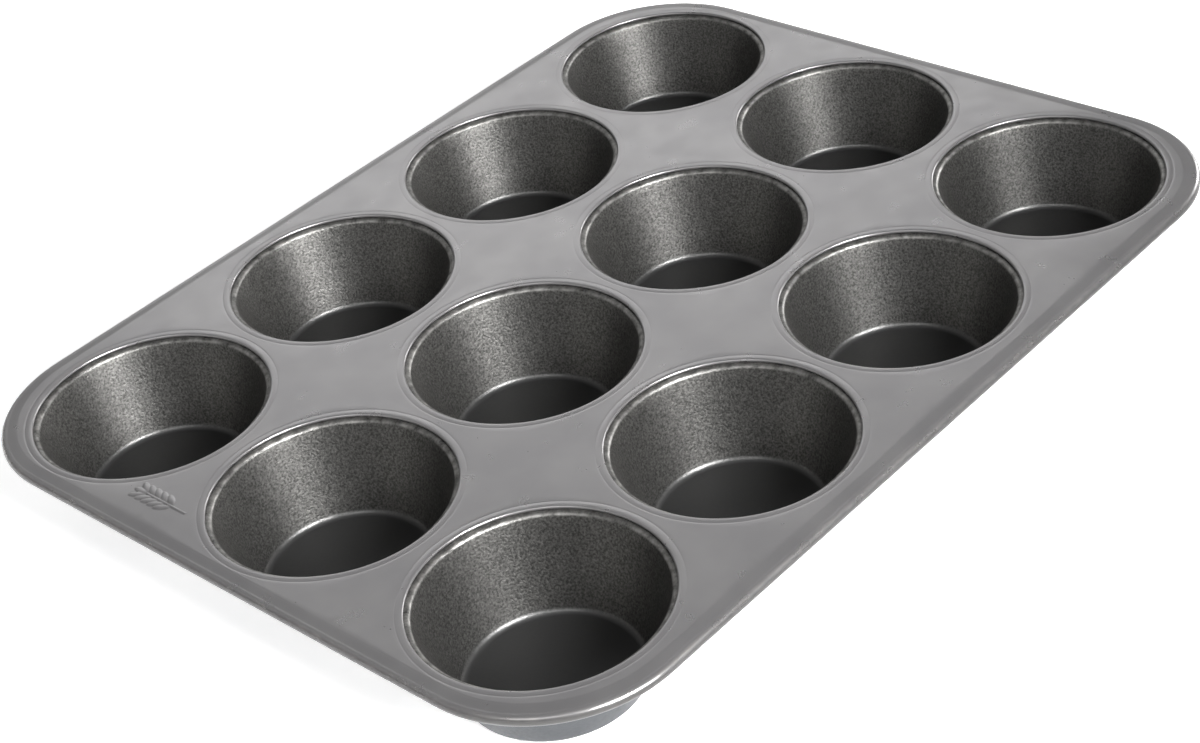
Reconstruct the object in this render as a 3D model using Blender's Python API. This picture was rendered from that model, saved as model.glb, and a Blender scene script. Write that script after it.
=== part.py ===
"""A twelve-cup muffin tin, built as a baker's crimped tin is.

A flat deck sheet has twelve round holes and a hem that is rolled round a steel wire.
Twelve drawn cups hang in the holes. At each hole the deck's edge is folded down and back
outwards, and the cup's flange is turned up and back inwards over that fold, so the two hooks
lock together as a flat double seam.

Metres, +Z up. X runs along the four columns of cups and Y along the three rows. The origin is
on the plane that the cups stand on, below the middle of the deck.
"""

import math

import bmesh
import bpy

# Layout of the cups
COLUMNS = 4
ROW_LETTERS = "abc"
PITCH_X = 0.0857
PITCH_Y = 0.0868

# Deck
LENGTH = 0.3522
WIDTH = 0.2738
HEIGHT = 0.0312
CORNER_RADIUS = 0.0460
HOLE_RADIUS = 0.0390

# Sheet metal, and the room left between two sheets that touch in the seam
SHEET = 0.00035
GAP = 0.0002

# Margin that slopes down to the rolled hem, and the wire inside the hem
MARGIN = 0.0055
MARGIN_DROP = 0.0005
WIRE_RADIUS = 0.0013
CURL_RADIUS = WIRE_RADIUS + GAP + SHEET
CURL_CENTRE = (CURL_RADIUS, HEIGHT - MARGIN_DROP - CURL_RADIUS)
CURL_TURN = math.radians(270)

# Seam round each hole: deck fold over cup flange, each with its hook
FOLD_HEIGHT = 3 * SHEET + 2 * GAP
FOLD_RADIUS = FOLD_HEIGHT / 2
DECK_HOOK_RADIUS = 0.0409
CUP_HOOK_RADIUS = HOLE_RADIUS + SHEET + GAP
FLANGE_RADIUS = DECK_HOOK_RADIUS + GAP + SHEET
FLANGE_CHAMFER = 0.0003

# Cup
DRAFT = math.radians(18.85)
CUP_BASE_RADIUS = 0.0273
CUP_FILLET = 0.0025
LIP_RADIUS = 0.0012
LEDGE_HEIGHT = HEIGHT - FOLD_HEIGHT - GAP

# Facets
CIRCLE_STEPS = 24
CORNER_STEPS = 6
CURL_STEPS = 9
FOLD_STEPS = 3
FILLET_STEPS = 2
WIRE_SIDES = 8

DOWN = -math.pi / 2
UP = math.pi / 2


def metal(name, colour, roughness, metallic):
    """A Principled material of one colour."""
    material = bpy.data.materials.new(name)
    material.use_nodes = True
    shader = material.node_tree.nodes["Principled BSDF"]
    shader.inputs["Base Color"].default_value = (*colour, 1.0)
    shader.inputs["Roughness"].default_value = roughness
    shader.inputs["Metallic"].default_value = metallic
    return material


def deck_coating():
    return metal("deck_coating", (0.33, 0.32, 0.33), 0.42, 0.6)


def cup_coating():
    return metal("cup_coating", (0.16, 0.155, 0.15), 0.38, 0.6)


def plain_steel():
    return metal("plain_steel", (0.55, 0.55, 0.56), 0.35, 1.0)


def arc(centre, radius, start, end, steps):
    """Points from angle start to angle end on a circle in a section's plane."""
    turn = (end - start) / steps
    angles = [start + turn * step for step in range(steps + 1)]
    return [
        (centre[0] + radius * math.cos(angle), centre[1] + radius * math.sin(angle))
        for angle in angles
    ]


def circle(x, y, radius, z):
    """A level ring of points round a vertical axis."""
    points = arc((x, y), radius, 0.0, math.tau, CIRCLE_STEPS)[:-1]
    return [(px, py, z) for px, py in points]


def outline(inset, z):
    """The deck's rounded rectangle, moved inwards by inset, as a level ring of points."""
    radius = CORNER_RADIUS - inset
    corner_x = LENGTH / 2 - CORNER_RADIUS
    corner_y = WIDTH / 2 - CORNER_RADIUS
    points = []
    for quarter, (side_x, side_y) in enumerate(((1, 1), (-1, 1), (-1, -1), (1, -1))):
        centre = (side_x * corner_x, side_y * corner_y)
        start = quarter * math.pi / 2
        points += arc(centre, radius, start, start + math.pi / 2, CORNER_STEPS)
    return [(x, y, z) for x, y in points]


def cup_places():
    """Each cup's name and the place of its axis."""
    for row, letter in enumerate(ROW_LETTERS):
        for column in range(COLUMNS):
            x = (column - (COLUMNS - 1) / 2) * PITCH_X
            y = (row - (len(ROW_LETTERS) - 1) / 2) * PITCH_Y
            yield f"cup_{letter}{column + 1}", x, y


def add_rings(bm, rings):
    """Vertices for each ring of points, joined by a band of faces to the ring before."""
    loops = [[bm.verts.new(point) for point in ring] for ring in rings]
    for first, second in zip(loops, loops[1:]):
        for index in range(len(first)):
            after = (index + 1) % len(first)
            bm.faces.new((first[index], first[after], second[after], second[index]))
    return loops


def loop_edges(bm, loop):
    return [bm.edges.get((loop[index - 1], loop[index])) for index in range(len(loop))]


def finish(bm, name, material, smooth_below=math.radians(40)):
    """A named object from the closed surface in bm."""
    bmesh.ops.recalc_face_normals(bm, faces=bm.faces)
    mesh = bpy.data.meshes.new(name)
    bm.to_mesh(mesh)
    bm.free()
    mesh.materials.append(material)
    mesh.shade_smooth()
    mesh.set_sharp_from_angle(angle=smooth_below)
    return new_object(name, mesh)


def new_object(name, mesh):
    made = bpy.data.objects.new(name, mesh)
    bpy.context.collection.objects.link(made)
    return made


def hem_section():
    """(inset, height) over the margin and round the rolled hem, from the deck's flat top to its
    flat underside."""
    outside = arc(CURL_CENTRE, CURL_RADIUS, UP, UP + CURL_TURN, CURL_STEPS)
    inside = arc(CURL_CENTRE, CURL_RADIUS - SHEET, UP + CURL_TURN, UP, CURL_STEPS)
    return [(MARGIN, HEIGHT), *outside, *inside, (MARGIN, HEIGHT - SHEET)]


def hole_section():
    """(radius, height) round the fold at a hole, from the deck's top face to its underside."""
    centre = (HOLE_RADIUS + FOLD_RADIUS, HEIGHT - FOLD_RADIUS)
    hook_low = HEIGHT - FOLD_HEIGHT
    outside = arc(centre, FOLD_RADIUS, UP, UP + math.pi, FOLD_STEPS)
    hook_end = [(DECK_HOOK_RADIUS, hook_low), (DECK_HOOK_RADIUS, hook_low + SHEET)]
    inside = arc(centre, FOLD_RADIUS - SHEET, UP + math.pi, UP, FOLD_STEPS - 1)
    return outside + hook_end + inside


def make_deck(material):
    """The deck sheet: its two flat faces, the margin and rolled hem, and a hooked fold per hole."""
    bm = bmesh.new()
    edges = [add_rings(bm, [outline(inset, z) for inset, z in hem_section()])]
    for _, x, y in cup_places():
        edges.append(add_rings(bm, [circle(x, y, radius, z) for radius, z in hole_section()]))
    for side in (0, -1):
        boundary = [edge for loops in edges for edge in loop_edges(bm, loops[side])]
        bmesh.ops.triangle_fill(bm, edges=boundary, use_beauty=True, normal=(0.0, 0.0, 1.0))
    return finish(bm, "deck", material)


def wall_radius(z):
    """Radius of the inside of the cup's straight wall at height z."""
    return CUP_BASE_RADIUS + (z - SHEET) * math.tan(DRAFT)


def cup_section():
    """(radius, height) from the rim of the floor's underside, up the outside, over the hooked
    flange and down the inside to the rim of the floor's upper face."""
    fillet_z = SHEET + CUP_FILLET
    fillet = (wall_radius(fillet_z) - CUP_FILLET / math.cos(DRAFT), fillet_z)
    lip_z = LEDGE_HEIGHT - LIP_RADIUS
    lip = (wall_radius(lip_z) + LIP_RADIUS / math.cos(DRAFT), lip_z)
    wall_side = math.pi - DRAFT
    flange_low = LEDGE_HEIGHT - SHEET
    hook_top = HEIGHT - SHEET - GAP
    hook_low = hook_top - SHEET
    turn_inside = FLANGE_RADIUS - SHEET
    outside = arc(fillet, CUP_FILLET + SHEET, DOWN, -DRAFT, FILLET_STEPS)
    under_lip = arc(lip, LIP_RADIUS - SHEET, wall_side, UP, 1)
    hook = [
        (FLANGE_RADIUS - FLANGE_CHAMFER, flange_low),
        (FLANGE_RADIUS, flange_low + FLANGE_CHAMFER),
        (FLANGE_RADIUS, hook_top - FLANGE_CHAMFER),
        (FLANGE_RADIUS - FLANGE_CHAMFER, hook_top),
        (CUP_HOOK_RADIUS, hook_top),
        (CUP_HOOK_RADIUS, hook_low),
        (turn_inside, hook_low),
        (turn_inside, LEDGE_HEIGHT),
    ]
    over_lip = arc(lip, LIP_RADIUS, UP, wall_side, 1)
    inside = arc(fillet, CUP_FILLET, -DRAFT, DOWN, FILLET_STEPS)
    return outside + under_lip + hook + over_lip + inside


def make_cups(material):
    """Twelve alike drawn cups, each its own object on its own axis."""
    bm = bmesh.new()
    loops = add_rings(bm, [circle(0.0, 0.0, radius, z) for radius, z in cup_section()])
    bm.faces.new(loops[0])
    bm.faces.new(loops[-1])
    first, *others = cup_places()
    cups = [finish(bm, first[0], material)]
    cups += [new_object(name, cups[0].data) for name, _, _ in others]
    for cup, (_, x, y) in zip(cups, (first, *others)):
        cup.location = (x, y, 0.0)
    return cups


def make_wire(material):
    """The closed wire inside the rolled hem."""
    bm = bmesh.new()
    section = arc(CURL_CENTRE, WIRE_RADIUS, UP, UP + math.tau, WIRE_SIDES)
    rings = [outline(inset, z) for inset, z in section[:-1]]
    loops = [[bm.verts.new(point) for point in ring] for ring in rings]
    for first, second in zip(loops, loops[1:] + loops[:1]):
        for index in range(len(first)):
            after = (index + 1) % len(first)
            bm.faces.new((first[index], first[after], second[after], second[index]))
    return finish(bm, "rim_wire", material)


def main():
    for old in list(bpy.data.objects):
        bpy.data.objects.remove(old)
    tin = new_object("muffin_tin", None)
    pieces = [make_deck(deck_coating()), make_wire(plain_steel()), *make_cups(cup_coating())]
    for piece in pieces:
        piece.parent = tin


main()
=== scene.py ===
"""The looks of the muffin tin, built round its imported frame.

Every sheet-metal piece of the frame gets a fine mesh that stands for it: one deck sheet with a
folded edge at each hole and a hem rolled round a wire, and twelve drawn cups whose flanges hook
into the folds. Metres, +Z up, in the frame's own axes.
"""

import math

import bmesh
import bpy
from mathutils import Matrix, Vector, noise


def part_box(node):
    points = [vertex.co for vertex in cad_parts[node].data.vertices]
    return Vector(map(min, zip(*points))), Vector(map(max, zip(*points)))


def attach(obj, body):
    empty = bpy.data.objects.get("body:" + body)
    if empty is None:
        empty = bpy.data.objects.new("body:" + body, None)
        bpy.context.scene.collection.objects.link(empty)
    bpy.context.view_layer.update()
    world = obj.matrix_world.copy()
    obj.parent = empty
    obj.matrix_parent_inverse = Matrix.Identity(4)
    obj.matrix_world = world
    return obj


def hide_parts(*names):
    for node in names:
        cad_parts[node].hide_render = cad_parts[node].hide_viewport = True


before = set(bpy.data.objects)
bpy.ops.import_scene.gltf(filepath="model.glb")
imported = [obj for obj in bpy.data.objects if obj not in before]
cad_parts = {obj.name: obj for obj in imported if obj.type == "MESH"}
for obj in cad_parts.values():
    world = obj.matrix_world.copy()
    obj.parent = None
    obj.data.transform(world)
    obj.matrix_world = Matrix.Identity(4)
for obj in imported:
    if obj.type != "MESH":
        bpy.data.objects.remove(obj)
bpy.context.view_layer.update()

# ---------------------------------------------------------------- sizes read from the frame
ROW_LETTERS = "abc"
COLUMNS = 4
DECK_LOW, DECK_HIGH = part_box("deck")
WIRE_LOW, WIRE_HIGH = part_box("rim_wire")
CUP_LOW, CUP_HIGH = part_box("cup_a1")
HALF_LENGTH = DECK_HIGH.x
HALF_WIDTH = DECK_HIGH.y
HEIGHT = DECK_HIGH.z
WIRE_RADIUS = (WIRE_HIGH.z - WIRE_LOW.z) / 2
CURL_RADIUS = WIRE_RADIUS + DECK_HIGH.x - WIRE_HIGH.x
CURL_Z = (WIRE_HIGH.z + WIRE_LOW.z) / 2
FLANGE_RADIUS = (CUP_HIGH.x - CUP_LOW.x) / 2


def cup_axis(name):
    low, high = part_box(name)
    return (low.x + high.x) / 2, (low.y + high.y) / 2


CUPS = {f"cup_{letter}{column + 1}": cup_axis(f"cup_{letter}{column + 1}")
        for letter in ROW_LETTERS for column in range(COLUMNS)}
HALF_PITCH_X = (CUPS["cup_a2"][0] - CUPS["cup_a1"][0]) / 2
HALF_PITCH_Y = (CUPS["cup_b1"][1] - CUPS["cup_a1"][1]) / 2

# ---------------------------------------------------------------- sheet-metal sizes
# The sheet, and the little room left between two sheets that are pressed together
SHEET = 0.00035
GAP = 0.00004

# Deck, and the seam at each hole: three sheets in the fold, and the cup's ledge below it
CORNER_RADIUS = 0.0460
HOLE_RADIUS = 0.0390
FOLD_RADIUS = (3 * SHEET + 2 * GAP) / 2
FOLD_Z = HEIGHT - FOLD_RADIUS
LEDGE_Z = HEIGHT - 2 * FOLD_RADIUS - GAP
DECK_HOOK_RADIUS = FLANGE_RADIUS - SHEET - GAP
CUP_HOOK_RADIUS = HOLE_RADIUS + FOLD_RADIUS
HOOK_TOP = HEIGHT - SHEET - GAP

# Cup
DRAFT = math.radians(18.85)
CUP_BASE_RADIUS = 0.0273
CUP_FILLET = 0.0025
LIP_RADIUS = 0.0018
# Rings of the flat floor, as shares of its radius
FLOOR_RINGS = (0.004, 0.15, 0.3, 0.45, 0.6, 0.75, 0.9)

# Margin: flat inside this inset, then falling to the rolled hem
MARGIN = 0.0055
MARGIN_BEND = 0.0053
MARGIN_SOFTNESS = 0.0003
MARGIN_SLOPE = math.radians(9.5)
CURL_TURN = math.radians(270)

# Low ring that the seam presses up round each hole, and the crease outside it
CROWN_HEIGHT = 0.00005
CROWN_OUTER = 0.04135
CREASE_RADIUS = 0.0415
CREASE_DEPTH = 0.00005
CREASE_WIDTH = 0.00022
FLAT_RADIUS = 0.0419

# Lighter bands in the coating: worn coating at each hole's edge; round the hem a band (at an angle
# that the sheet has turned through) that is worn coating and painted highlight; and a painted
# highlight on each cup's lip
EDGE_RUB_INSET = 0.0003
EDGE_RUB_WIDTH = 0.0004
EDGE_RUB = 0.1
HEM_WEAR_AND_HIGHLIGHT_TURN = 0.9
HEM_WEAR_AND_HIGHLIGHT_WIDTH = 0.35
HEM_WEAR_AND_HIGHLIGHT = 0.4
LIP_HIGHLIGHT_DROP = LIP_RADIUS * 0.2
LIP_HIGHLIGHT_WIDTH = 0.0004

# Slight unevenness of the sheet between the cups, which fades out near the holes and the margin
UNEVEN_HEIGHT = 0.00010
UNEVEN_SCALE = 22
UNEVEN_FADE = 0.006

# Fineness
SIDE_STEPS = 36
CIRCLE_STEPS = 144
WEB_RINGS = 7
CORNER_STEPS = 24
FOLD_STEPS = 14
HEM_STEPS = 30
SHARP_ANGLE = math.radians(50)
MERGE_DISTANCE = 5e-6

DOWN, UP = -math.pi / 2, math.pi / 2


# ---------------------------------------------------------------- mesh helpers
def arc(centre, radius, start, end, steps):
    """Points from angle start to angle end on a circle in a section's plane."""
    turn = (end - start) / steps
    angles = [start + turn * step for step in range(steps + 1)]
    return [(centre[0] + radius * math.cos(a), centre[1] + radius * math.sin(a)) for a in angles]


def bell(distance, width):
    """1 at no distance, falling smoothly to nothing a few widths away."""
    return math.exp(-(distance / width) ** 2)


def band(bm, first, second):
    """Faces between two closed loops of vertices."""
    for index in range(len(first)):
        after = (index + 1) % len(first)
        bm.faces.new((first[index], first[after], second[after], second[index]))


def add_loops(bm, rings, marks):
    """Closed loops of vertices, one for each ring of points, each joined to the one before.
    marks names a vertex layer and gives one value a ring."""
    layers = {name: bm.verts.layers.float[name] for name in marks}
    loops = []
    for index, ring in enumerate(rings):
        loop = [bm.verts.new(point) for point in ring]
        for name, layer in layers.items():
            for vert in loop:
                vert[layer] = marks[name][index]
        if loops:
            band(bm, loops[-1], loop)
        loops.append(loop)
    return loops


def new_mesh(layers):
    bm = bmesh.new()
    for name in layers:
        bm.verts.layers.float.new(name)
    return bm


def to_mesh(bm, name, material):
    bmesh.ops.recalc_face_normals(bm, faces=bm.faces)
    mesh = bpy.data.meshes.new(name)
    bm.to_mesh(mesh)
    bm.free()
    mesh.materials.append(material)
    mesh.shade_smooth()
    mesh.set_sharp_from_angle(angle=SHARP_ANGLE)
    return mesh


def add_piece(name, mesh, node, place=(0.0, 0.0, 0.0)):
    """A visible piece that stands for one node of the frame."""
    made = bpy.data.objects.new(name, mesh)
    bpy.context.scene.collection.objects.link(made)
    made.location = place
    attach(made, "root")
    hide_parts(node)


# ---------------------------------------------------------------- deck outline
def corner_centre(x, y):
    """Centre of the outline's rounded corner in the quarter that holds (x, y)."""
    return (math.copysign(HALF_LENGTH - CORNER_RADIUS, x),
            math.copysign(HALF_WIDTH - CORNER_RADIUS, y))


def outward(x, y):
    """Unit vector straight out of the deck's outline at a point on or near it."""
    cx, cy = corner_centre(x, y)
    beyond_x, beyond_y = abs(x) > abs(cx), abs(y) > abs(cy)
    if beyond_x and beyond_y:
        return Vector((x - cx, y - cy)).normalized()
    if beyond_x:
        return Vector((math.copysign(1, x), 0))
    return Vector((0, math.copysign(1, y)))


def cell_sides(cx, cy):
    """How far a cup's share of the flat deck reaches from its axis: +X, +Y, -X, -Y."""
    flat_x, flat_y = HALF_LENGTH - MARGIN, HALF_WIDTH - MARGIN
    last_x, last_y = (COLUMNS - 1) * HALF_PITCH_X, (len(ROW_LETTERS) - 1) * HALF_PITCH_Y
    near = HALF_PITCH_X / 2
    return (flat_x - cx if cx > last_x - near else HALF_PITCH_X,
            flat_y - cy if cy > last_y - near else HALF_PITCH_Y,
            flat_x + cx if cx < near - last_x else HALF_PITCH_X,
            flat_y + cy if cy < near - last_y else HALF_PITCH_Y)


def cell_angles(sides):
    """Directions from a cup's axis, with one through each corner of its share of the deck."""
    right, back, left, front = sides
    corners = [math.atan2(-front, right), math.atan2(back, right),
               math.atan2(back, -left), math.atan2(-front, -left) + math.tau]
    corners.append(corners[0] + math.tau)
    return [start + (end - start) * step / SIDE_STEPS
            for start, end in zip(corners, corners[1:]) for step in range(SIDE_STEPS)]


def cell_reach(cx, cy, sides, angle):
    """Distance along an angle from a cup's axis to the edge of its share of the flat deck."""
    dx, dy = math.cos(angle), math.sin(angle)
    right, back, left, front = sides
    reach = min((right if dx > 0 else left) / max(abs(dx), 1e-9),
                (back if dy > 0 else front) / max(abs(dy), 1e-9))
    x, y = cx + dx * reach, cy + dy * reach
    kx, ky = corner_centre(x, y)
    if abs(x) > abs(kx) and abs(y) > abs(ky):
        away = Vector((cx - kx, cy - ky))
        along = away.x * dx + away.y * dy
        radius = CORNER_RADIUS - MARGIN
        reach = min(reach, -along + math.sqrt(along * along - away.length_squared + radius ** 2))
    return reach


# ---------------------------------------------------------------- deck
def crown(radius):
    """Height that the seam presses into the deck at a distance from a cup's axis."""
    share = (radius - HOLE_RADIUS) / (CROWN_OUTER - HOLE_RADIUS)
    raised = CROWN_HEIGHT * math.sin(math.pi * share) ** 2 if 0 < share < 1 else 0.0
    return raised - CREASE_DEPTH * bell(radius - CREASE_RADIUS, CREASE_WIDTH)


def hole_section():
    """(radius, height, wear) from the underside round the fold and its hook to the flat top."""
    centre = (HOLE_RADIUS + FOLD_RADIUS, FOLD_Z)
    radii = [centre[0] + (FLAT_RADIUS - centre[0]) * step / FOLD_STEPS
             for step in range(1, FOLD_STEPS + 1)]
    under = [(r, HEIGHT - SHEET) for r in reversed(radii)]
    inside = arc(centre, FOLD_RADIUS - SHEET, UP, UP + math.pi, 8)
    hook_low = HEIGHT - 2 * FOLD_RADIUS
    hook_end = [(DECK_HOOK_RADIUS - SHEET / 4, hook_low + SHEET),
                (DECK_HOOK_RADIUS, hook_low + SHEET * 0.8),
                (DECK_HOOK_RADIUS, hook_low + SHEET * 0.2),
                (DECK_HOOK_RADIUS - SHEET / 4, hook_low)]
    outside = arc(centre, FOLD_RADIUS, UP + math.pi, UP, FOLD_STEPS)
    top = [(r, HEIGHT) for r in radii]
    section = []
    for r, z in under + inside + hook_end + outside + top:
        upper = min(max((z - FOLD_Z) / (FOLD_RADIUS - SHEET), 0.0), 1.0)
        on_top = z > HEIGHT - SHEET * 0.9
        rub = bell(r - HOLE_RADIUS - EDGE_RUB_INSET, EDGE_RUB_WIDTH) * EDGE_RUB if on_top else 0.0
        section.append((r, z + crown(r) * upper, rub))
    return section


def hem_section():
    """(inset, height, wear and painted highlight) from the flat top, over the margin and round the
    hem.
    """
    def margin(inset):
        ahead = (MARGIN_BEND - inset) / MARGIN_SOFTNESS
        return -math.tan(MARGIN_SLOPE) * MARGIN_SOFTNESS * math.log1p(math.exp(ahead))

    centre = (CURL_RADIUS, CURL_Z)
    start, end = UP - MARGIN_SLOPE, UP + CURL_TURN
    rolled = arc(centre, CURL_RADIUS, start, end, HEM_STEPS)
    rolled_in = arc(centre, CURL_RADIUS - SHEET, end, start, 20)
    steps = 12
    insets = [MARGIN + (rolled[0][0] - MARGIN) * step / steps for step in range(1, steps)]
    level = rolled[0][1] - margin(rolled[0][0])
    lift = [(HEIGHT - level) * (MARGIN - i) / (MARGIN - rolled[0][0]) for i in insets]
    falling = [(i, HEIGHT + margin(i) - h) for i, h in zip(insets, lift)]
    section = [(i, z, 0.0) for i, z in falling]
    for step, (i, z) in enumerate(rolled):
        turned = step * (end - start) / HEM_STEPS
        # Worn coating and painted highlight: a lighter band along the top of the hem's bead
        section.append((i, z, HEM_WEAR_AND_HIGHLIGHT * bell(turned - HEM_WEAR_AND_HIGHLIGHT_TURN, HEM_WEAR_AND_HIGHLIGHT_WIDTH)))
    section += [(i, z, 0.0) for i, z in rolled_in]
    section += [(i, z - SHEET, 0.0) for i, z in reversed(falling)]
    return section


def add_cell(bm, cx, cy):
    """One cup's share of the deck: both faces of the sheet and the fold between them."""
    sides = cell_sides(cx, cy)
    angles = cell_angles(sides)
    reaches = [cell_reach(cx, cy, sides, angle) for angle in angles]

    def ring(distances, z):
        return [(cx + d * math.cos(a), cy + d * math.sin(a), z) for a, d in zip(angles, distances)]

    def web(share):
        return [FLAT_RADIUS + (reach - FLAT_RADIUS) * share for reach in reaches]

    shares = [(step + 1) / WEB_RINGS for step in range(WEB_RINGS)]
    section = hole_section()
    rings = [ring(web(share), HEIGHT - SHEET) for share in reversed(shares)]
    rings += [ring([r] * len(angles), z) for r, z, _ in section]
    rings += [ring(web(share), HEIGHT) for share in shares]
    wear_and_painted_highlight = [0.0] * WEB_RINGS + [w for _, _, w in section] + [0.0] * WEB_RINGS
    add_loops(bm, rings, {"wear_and_painted_highlight": wear_and_painted_highlight})


def outline_loop(bm):
    """The vertices of the flat top's outer edge, in order round the deck."""
    rim = {vert for edge in bm.edges if edge.is_boundary for vert in edge.verts
           if edge.verts[0].co.z > HEIGHT - SHEET / 2}
    return sorted(rim, key=lambda vert: math.atan2(vert.co.y, vert.co.x))


def add_hem(bm, loop):
    """The margin and the rolled hem, out from the flat top's edge and back to the underside's."""
    section = [(MARGIN, HEIGHT, 0.0), *hem_section(), (MARGIN, HEIGHT - SHEET, 0.0)]
    places = [(vert.co.x, vert.co.y, outward(vert.co.x, vert.co.y)) for vert in loop]
    rings = [[(x + out.x * (MARGIN - inset), y + out.y * (MARGIN - inset), z)
              for x, y, out in places] for inset, z, _ in section]
    add_loops(bm, rings, {"wear_and_painted_highlight": [w for _, _, w in section]})


# Pressed ornament: an ear of wheat near one short edge
EAR_CENTRE = Vector((-0.1607, 0.0436))
EAR_LENGTH = 0.0240
GRAIN_PAIRS = 5
GRAIN_LENGTH = 0.0056
GRAIN_WIDTH = 0.0023
GRAIN_LEAN = math.radians(32)
STALK_WIDTH = 0.0008
EAR_HEIGHT = 0.0004


def ear_grains():
    """(centre, direction) of each grain, in the ornament's own plane with the ear along +Y."""
    spacing = EAR_LENGTH * 0.62 / GRAIN_PAIRS
    first = EAR_LENGTH / 2 - GRAIN_LENGTH * 0.75 - spacing * GRAIN_PAIRS
    for pair in range(GRAIN_PAIRS):
        for side in (-1, 1):
            lean = Vector((side * math.sin(GRAIN_LEAN), math.cos(GRAIN_LEAN)))
            foot = Vector((side * STALK_WIDTH * 0.7, first + spacing * (pair + 0.6)))
            yield foot + lean * GRAIN_LENGTH * 0.5, lean
    yield Vector((0.0, EAR_LENGTH / 2 - GRAIN_LENGTH * 0.5)), Vector((0.0, 1.0))


def ear_relief(x, y, grains):
    """Height of the pressed ear of wheat above the deck at a point."""
    at = Vector((x, y)) - EAR_CENTRE
    best = 0.0
    for centre, lean in grains:
        along = (at - centre).dot(lean) / (GRAIN_LENGTH / 2)
        across = (at - centre).dot(Vector((lean.y, -lean.x))) / (GRAIN_WIDTH / 2)
        best = max(best, 1.0 - along * along - across * across)
    on_stalk = -EAR_LENGTH / 2 < at.y < EAR_LENGTH / 2 - GRAIN_LENGTH
    if on_stalk:
        best = max(best, 0.8 * (1.0 - (at.x / (STALK_WIDTH / 2)) ** 2))
    return EAR_HEIGHT * math.sqrt(best) if best > 0 else 0.0


def refine_ornament(bm):
    """Splits the faces under the ornament finely enough to hold its relief."""
    half = Vector((EAR_LENGTH * 0.32, EAR_LENGTH * 0.58))

    def inside(vert):
        return (abs(vert.co.x - EAR_CENTRE.x) < half.x and abs(vert.co.y - EAR_CENTRE.y) < half.y
                and vert.co.z > HEIGHT - 1.5 * SHEET)

    edges = [edge for edge in bm.edges if all(inside(vert) for vert in edge.verts)]
    bmesh.ops.subdivide_edges(bm, edges=edges, cuts=9, use_grid_fill=True)
    many_sided = [face for face in bm.faces if len(face.verts) > 4]
    bmesh.ops.triangulate(bm, faces=many_sided)


def settle_deck(bm):
    """Presses in the ornament and gives the sheet between the cups its slight unevenness."""
    grains = list(ear_grains())
    reach = EAR_LENGTH * 0.6
    for vert in bm.verts:
        x, y, z = vert.co
        if z < HEIGHT - 1.5 * SHEET:
            continue
        from_hole = min(math.hypot(x - cx, y - cy) for cx, cy in CUPS.values()) - FLAT_RADIUS
        from_edge = min(HALF_LENGTH - MARGIN - abs(x), HALF_WIDTH - MARGIN - abs(y))
        free = min(max(min(from_hole, from_edge) / UNEVEN_FADE, 0.0), 1.0)
        wave = noise.noise(Vector((x * UNEVEN_SCALE, y * UNEVEN_SCALE, 3.1)))
        vert.co.z += UNEVEN_HEIGHT * free * wave
        if (Vector((x, y)) - EAR_CENTRE).length < reach:
            vert.co.z += ear_relief(x, y, grains)


def make_deck(material):
    bm = new_mesh(["wear_and_painted_highlight"])
    for cx, cy in CUPS.values():
        add_cell(bm, cx, cy)
    bmesh.ops.remove_doubles(bm, verts=bm.verts, dist=MERGE_DISTANCE)
    add_hem(bm, outline_loop(bm))
    bmesh.ops.remove_doubles(bm, verts=bm.verts, dist=MERGE_DISTANCE)
    refine_ornament(bm)
    settle_deck(bm)
    add_piece("deck_sheet", to_mesh(bm, "deck_sheet", material), "deck")


# ---------------------------------------------------------------- cups
def wall_radius(z):
    """Radius of the inside of the cup's straight wall at height z."""
    return CUP_BASE_RADIUS + (z - SHEET) * math.tan(DRAFT)


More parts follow.
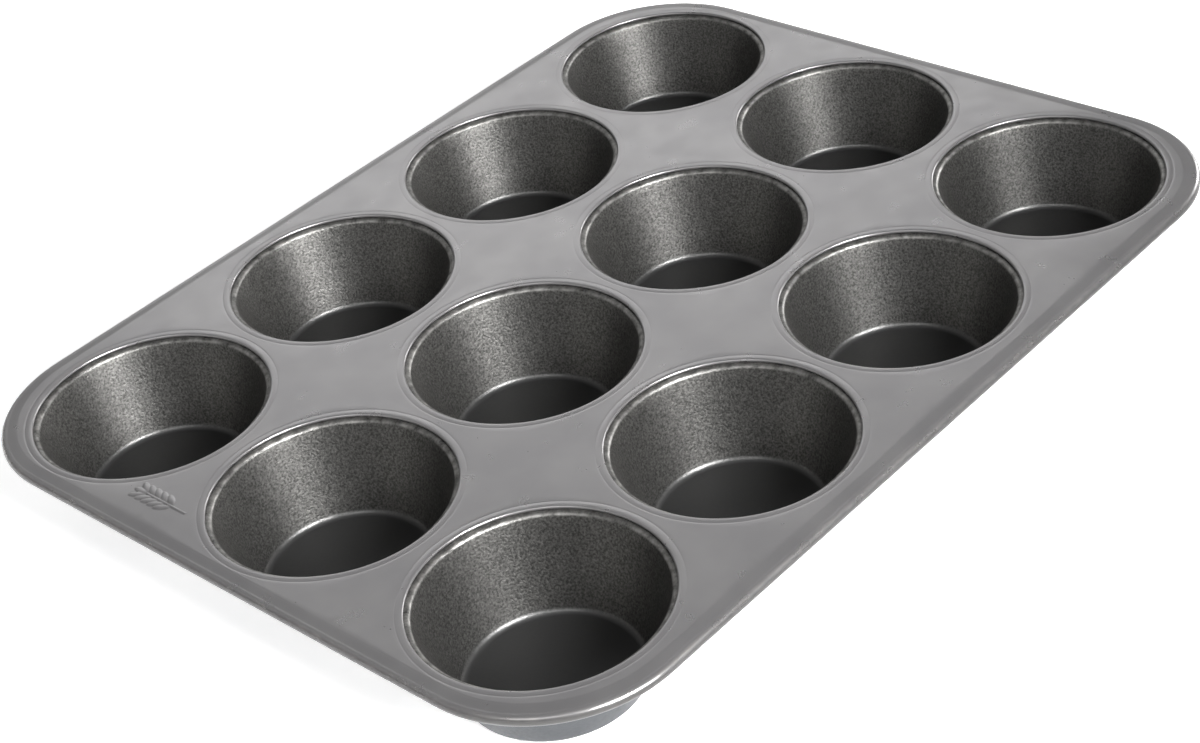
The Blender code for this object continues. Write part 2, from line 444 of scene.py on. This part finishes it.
def cup_section():
    """(radius, height, outside, painted highlight) from the middle of the underside, up the
    outside, over the hooked flange and down the inside to the middle of the floor; the painted
    highlight is a lighter band round the lip."""
    fillet_z = SHEET + CUP_FILLET
    fillet = (wall_radius(fillet_z) - CUP_FILLET / math.cos(DRAFT), fillet_z)
    lip_z = LEDGE_Z - LIP_RADIUS
    lip = (wall_radius(lip_z) + LIP_RADIUS / math.cos(DRAFT), lip_z)
    wall_side = math.pi - DRAFT
    turn = SHEET + GAP / 2
    turn_centre = (FLANGE_RADIUS - turn, LEDGE_Z - SHEET + turn)
    top_centre = (FLANGE_RADIUS - turn, HOOK_TOP - turn)
    floor = [fillet[0] * share for share in FLOOR_RINGS]

    def straight(first, last, steps):
        return [(first[0] + (last[0] - first[0]) * s / steps,
                 first[1] + (last[1] - first[1]) * s / steps) for s in range(1, steps)]

    under = [(r, 0.0) for r in floor]
    outer_fillet = arc(fillet, CUP_FILLET + SHEET, DOWN, -DRAFT, 10)
    under_lip = arc(lip, LIP_RADIUS - SHEET, wall_side, UP, 6)
    outer_turn = arc(turn_centre, turn, DOWN, 0, 5) + arc(top_centre, turn, 0, UP, 5)
    hook_end = [(CUP_HOOK_RADIUS, HOOK_TOP), (CUP_HOOK_RADIUS, HOOK_TOP - SHEET)]
    inner_turn = [(FLANGE_RADIUS - SHEET, HOOK_TOP - SHEET), (FLANGE_RADIUS - SHEET, LEDGE_Z)]
    over_lip = arc(lip, LIP_RADIUS, UP, wall_side, 10)
    inner_fillet = arc(fillet, CUP_FILLET, -DRAFT, DOWN, 12)
    outer_wall = straight(outer_fillet[-1], under_lip[0], 10)
    inner_wall = straight(over_lip[-1], inner_fillet[0], 12)
    outside = under + outer_fillet + outer_wall + under_lip + outer_turn
    inside = hook_end + inner_turn + over_lip + inner_wall + inner_fillet
    inside += [(r, SHEET) for r in reversed(floor)]
    section = [(r, z, 1.0, 0.0) for r, z in outside]
    for r, z in inside:
        # Painted highlight: a lighter band along the lip, just below the ledge
        at_lip = bell(LEDGE_Z - LIP_HIGHLIGHT_DROP - z, LIP_HIGHLIGHT_WIDTH) if r < HOLE_RADIUS else 0.0
        section.append((r, z, 0.0, at_lip))
    return section


def cup_mesh(material):
    bm = new_mesh(["outside", "wear_and_painted_highlight"])
    section = cup_section()
    angles = [math.tau * step / CIRCLE_STEPS for step in range(CIRCLE_STEPS)]
    rings = [[(r * math.cos(a), r * math.sin(a), z) for a in angles] for r, z, _, _ in section]
    marks = {"outside": [s[2] for s in section], "wear_and_painted_highlight": [s[3] for s in section]}
    loops = add_loops(bm, rings, marks)
    for loop in (loops[0], loops[-1]):
        bm.faces.new(loop)
    return to_mesh(bm, "cup", material)


def make_cups(material):
    mesh = cup_mesh(material)
    for name, (cx, cy) in CUPS.items():
        add_piece(f"{name}_drawn", mesh, name, (cx, cy, 0.0))


# ---------------------------------------------------------------- wire
def make_wire(material):
    bm = new_mesh([])
    section = arc((CURL_RADIUS, CURL_Z), WIRE_RADIUS, UP, UP + math.tau, 20)[:-1]
    plan = []
    for quarter, (sx, sy) in enumerate(((1, 1), (-1, 1), (-1, -1), (1, -1))):
        kx, ky = corner_centre(sx, sy)
        for step in range(CORNER_STEPS + 1):
            angle = quarter * math.pi / 2 + step * math.pi / 2 / CORNER_STEPS
            plan.append((kx, ky, math.cos(angle), math.sin(angle)))
    rings = [[(kx + dx * (CORNER_RADIUS - inset), ky + dy * (CORNER_RADIUS - inset), z)
              for kx, ky, dx, dy in plan] for inset, z in section]
    loops = add_loops(bm, rings, {})
    band(bm, loops[-1], loops[0])
    mesh = to_mesh(bm, "rim_wire_drawn", material)
    add_piece("rim_wire_drawn", mesh, "rim_wire")


# ---------------------------------------------------------------- materials
class Nodes:
    """Short ways to add and link shader nodes in one material."""

    def __init__(self, name):
        self.material = bpy.data.materials.new(name)
        self.material.use_nodes = True
        self.tree = self.material.node_tree
        self.shader = self.tree.nodes["Principled BSDF"]
        self.place = self.tree.nodes.new("ShaderNodeNewGeometry").outputs["Position"]

    def put(self, socket, value):
        if isinstance(value, bpy.types.NodeSocket):
            self.tree.links.new(value, socket)
        else:
            socket.default_value = value

    def add(self, kind, inputs=(), **settings):
        node = self.tree.nodes.new(kind)
        for key, value in settings.items():
            setattr(node, key, value)
        for key, value in dict(inputs).items():
            self.put(node.inputs[key], value)
        return node

    def noise(self, scale, detail=2.0, roughness=0.5):
        inputs = {"Vector": self.place, "Scale": scale, "Detail": detail, "Roughness": roughness}
        return self.add("ShaderNodeTexNoise", inputs).outputs["Fac"]

    def math(self, operation, first, second, clamp=False):
        inputs = {0: first, 1: second}
        return self.add("ShaderNodeMath", inputs, operation=operation, use_clamp=clamp).outputs[0]

    def height(self):
        return self.add("ShaderNodeSeparateXYZ", {"Vector": self.place}).outputs["Z"]

    def span(self, value, low, high, out_low=0.0, out_high=1.0):
        inputs = {"Value": value, "From Min": low, "From Max": high,
                  "To Min": out_low, "To Max": out_high}
        return self.add("ShaderNodeMapRange", inputs).outputs["Result"]

    def mix(self, share, first, second):
        node = self.add("ShaderNodeMix", data_type="RGBA")
        self.put(node.inputs["Factor"], share)
        for socket, colour in (("A", first), ("B", second)):
            linked = isinstance(colour, bpy.types.NodeSocket)
            self.put(node.inputs[socket], colour if linked else (*colour, 1.0))
        return node.outputs["Result"]

    def mark(self, name):
        return self.add("ShaderNodeAttribute", attribute_name=name).outputs["Fac"]

    def bump(self, height, distance, strength):
        inputs = {"Height": height, "Distance": distance, "Strength": strength}
        return self.add("ShaderNodeBump", inputs).outputs["Normal"]

    def finish(self, **values):
        for key, value in values.items():
            self.put(self.shader.inputs[key.replace("_", " ")], value)
        return self.material


def deck_coating():
    """Smooth satin grey coating: faint clouding, a fine orange peel, worn hole edges, a band round
    the hem that is worn coating and painted highlight, and painted shade: a darker tone down the
    margin and round the hem."""
    n = Nodes("deck_coating")
    cloud = n.span(n.noise(38, 3), 0.35, 0.65)
    flat = n.mix(cloud, (0.290, 0.284, 0.289), (0.325, 0.318, 0.321))
    # Painted shade: darker colour down the margin, round the hem and low in the folds at the holes
    clear_of_painted_shade = n.span(n.height(), HEIGHT - 0.0018, HEIGHT - 0.0006)
    colour = n.mix(clear_of_painted_shade, (0.095, 0.093, 0.092), flat)
    peel = n.noise(600, 2)
    patches = n.span(n.noise(260, 3), 0.35, 0.75)
    # Worn coating at the hole edges, and a band round the hem that is worn coating and painted
    # highlight
    painted_highlight_and_wear = n.math("MULTIPLY", n.mark("wear_and_painted_highlight"), patches, clamp=True)
    colour = n.mix(n.math("MULTIPLY", painted_highlight_and_wear, 0.55), colour, (0.56, 0.53, 0.49))
    roughness = n.span(n.noise(120, 4), 0.3, 0.7, 0.27, 0.33)
    roughness = n.math("SUBTRACT", roughness, n.math("MULTIPLY", painted_highlight_and_wear, 0.08))
    normal = n.bump(peel, 0.00001, 0.2)
    return n.finish(Base_Color=colour, Roughness=roughness, Metallic=0.75, Normal=normal)


def cup_coating():
    """Dark grey coating: a fine glinting grain on the inside of the wall, a smooth floor, a
    painted highlight round the lip and a smooth blue-grey outside."""
    n = Nodes("cup_coating")
    outside = n.mark("outside")
    grain = n.noise(1350, 3, 0.6)
    glint = n.span(grain, 0.35, 0.7)
    above_floor = n.span(n.height(), SHEET * 1.5, CUP_FILLET)
    wall = n.mix(glint, (0.052, 0.051, 0.049), (0.165, 0.162, 0.155))
    inner = n.mix(above_floor, (0.115, 0.115, 0.115), wall)
    cloud = n.span(n.noise(60, 3), 0.35, 0.65)
    outer = n.mix(cloud, (0.062, 0.066, 0.072), (0.073, 0.077, 0.084))
    colour = n.mix(outside, inner, outer)
    patches = n.span(n.noise(300, 3), 0.3, 0.7)
    # Painted highlight: the lip's band is mixed towards a light grey
    painted_highlight_and_wear = n.math("MULTIPLY", n.mark("wear_and_painted_highlight"), patches, clamp=True)
    colour = n.mix(n.math("MULTIPLY", painted_highlight_and_wear, 0.8), colour, (0.50, 0.49, 0.47))
    roughness = n.span(n.noise(900, 2), 0.3, 0.7, 0.36, 0.44)
    grainy = n.math("SUBTRACT", above_floor, outside, clamp=True)
    depth = n.span(grainy, 0.0, 1.0, 0.00003, 0.00010)
    normal = n.bump(grain, depth, 1.0)
    return n.finish(Base_Color=colour, Roughness=roughness, Metallic=0.85, Normal=normal)


def plain_steel():
    """Drawn steel wire, with the faint lines that the die leaves."""
    n = Nodes("plain_steel")
    tone = n.span(n.noise(900, 4), 0.3, 0.7)
    colour = n.mix(tone, (0.42, 0.42, 0.43), (0.58, 0.58, 0.59))
    roughness = n.span(n.noise(400, 3), 0.3, 0.7, 0.28, 0.45)
    normal = n.bump(n.noise(2600, 2), 0.00002, 0.3)
    return n.finish(Base_Color=colour, Roughness=roughness, Metallic=1.0, Normal=normal)


# ---------------------------------------------------------------- studio
# Tone of the sky at each height of its direction's Z, from the horizon up
SKY = ((0.0, 0.85), (0.05, 0.80), (0.20, 0.15), (0.50, 0.36),
       (0.66, 0.30), (0.80, 0.08), (1.0, 0.08))
# The camera's place has its height above the deck
CAMERA_PLACE = (-0.46069, -0.48536, 0.43202)
CAMERA_TURN = (54.791, 7.865, -48.309)
LENS = 71.89
SENSOR = 36.0
WHITE = (1.0, 1.0, 1.0, 1.0)


def make_camera():
    data = bpy.data.cameras.new("camera")
    data.lens = LENS
    data.sensor_width = SENSOR
    camera = bpy.data.objects.new("camera", data)
    camera.location = Vector(CAMERA_PLACE) + Vector((0, 0, HEIGHT))
    camera.rotation_euler = [math.radians(angle) for angle in CAMERA_TURN]
    bpy.context.scene.collection.objects.link(camera)
    bpy.context.scene.camera = camera


def make_floor():
    """White paper, lit enough of its own that no shadow shows on it."""
    bm = bmesh.new()
    bmesh.ops.create_grid(bm, x_segments=8, y_segments=8, size=4.0)
    mesh = bpy.data.meshes.new("floor")
    bm.to_mesh(mesh)
    bm.free()
    n = Nodes("floor_paper")
    tone = n.span(n.noise(6, 3), 0.3, 0.7)
    colour = n.mix(tone, (0.93, 0.93, 0.93), (0.95, 0.95, 0.95))
    paper = n.finish(Base_Color=colour, Roughness=0.9, Emission_Color=WHITE,
                     Emission_Strength=0.68)
    mesh.materials.append(paper)
    floor = bpy.data.objects.new("floor", mesh)
    bpy.context.scene.collection.objects.link(floor)


def softbox(name, azimuth, elevation, distance, size, power, aim=(0.0, 0.0), spread=180):
    """A rectangular light that faces a point on the tin, azimuth from +X towards +Y."""
    data = bpy.data.lights.new(name, "AREA")
    data.shape = "RECTANGLE"
    data.size, data.size_y = size
    data.energy = power
    data.spread = math.radians(spread)
    light = bpy.data.objects.new(name, data)
    a, e = math.radians(azimuth), math.radians(elevation)
    towards = Vector((math.cos(a) * math.cos(e), math.sin(a) * math.cos(e), math.sin(e)))
    light.location = towards * distance + Vector((0, 0, HEIGHT))
    away = light.location - Vector((*aim, HEIGHT))
    light.rotation_euler = away.to_track_quat("Z", "Y").to_euler()
    bpy.context.scene.collection.objects.link(light)


def make_world():
    """White below the horizon, and above it a dim sky with one soft lighter ring."""
    def grey(tone):
        return (tone, tone, tone, 1.0)

    world = bpy.data.worlds.new("studio")
    world.use_nodes = True
    tree = world.node_tree
    direction = tree.nodes.new("ShaderNodeTexCoord").outputs["Generated"]
    split = tree.nodes.new("ShaderNodeSeparateXYZ")
    ramp = tree.nodes.new("ShaderNodeValToRGB")
    tree.links.new(direction, split.inputs["Vector"])
    tree.links.new(split.outputs["Z"], ramp.inputs["Fac"])
    tree.links.new(ramp.outputs["Color"], tree.nodes["Background"].inputs["Color"])
    stops = ramp.color_ramp.elements
    for stop, (height, tone) in zip(stops, (SKY[0], SKY[-1])):
        stop.position, stop.color = height, grey(tone)
    for height, tone in SKY[1:-1]:
        stops.new(height).color = grey(tone)
    bpy.context.scene.world = world


def make_studio():
    make_camera()
    make_floor()
    make_world()
    softbox("back_wall", 47, 27, 1.6, (1.10, 0.45), 2.1)
    # The key shines through a grid onto the far left cups
    softbox("key", -98, 30, 1.1, (0.50, 0.34), 2.9, aim=CUPS["cup_c1"], spread=50)
    softbox("fill", -155, 42, 1.6, (0.60, 0.45), 3.6)
    softbox("side", -4, 13, 1.6, (0.45, 0.40), 6.5)
    bpy.context.scene.view_settings.view_transform = "Standard"


make_deck(deck_coating())
make_cups(cup_coating())
make_wire(plain_steel())
make_studio()
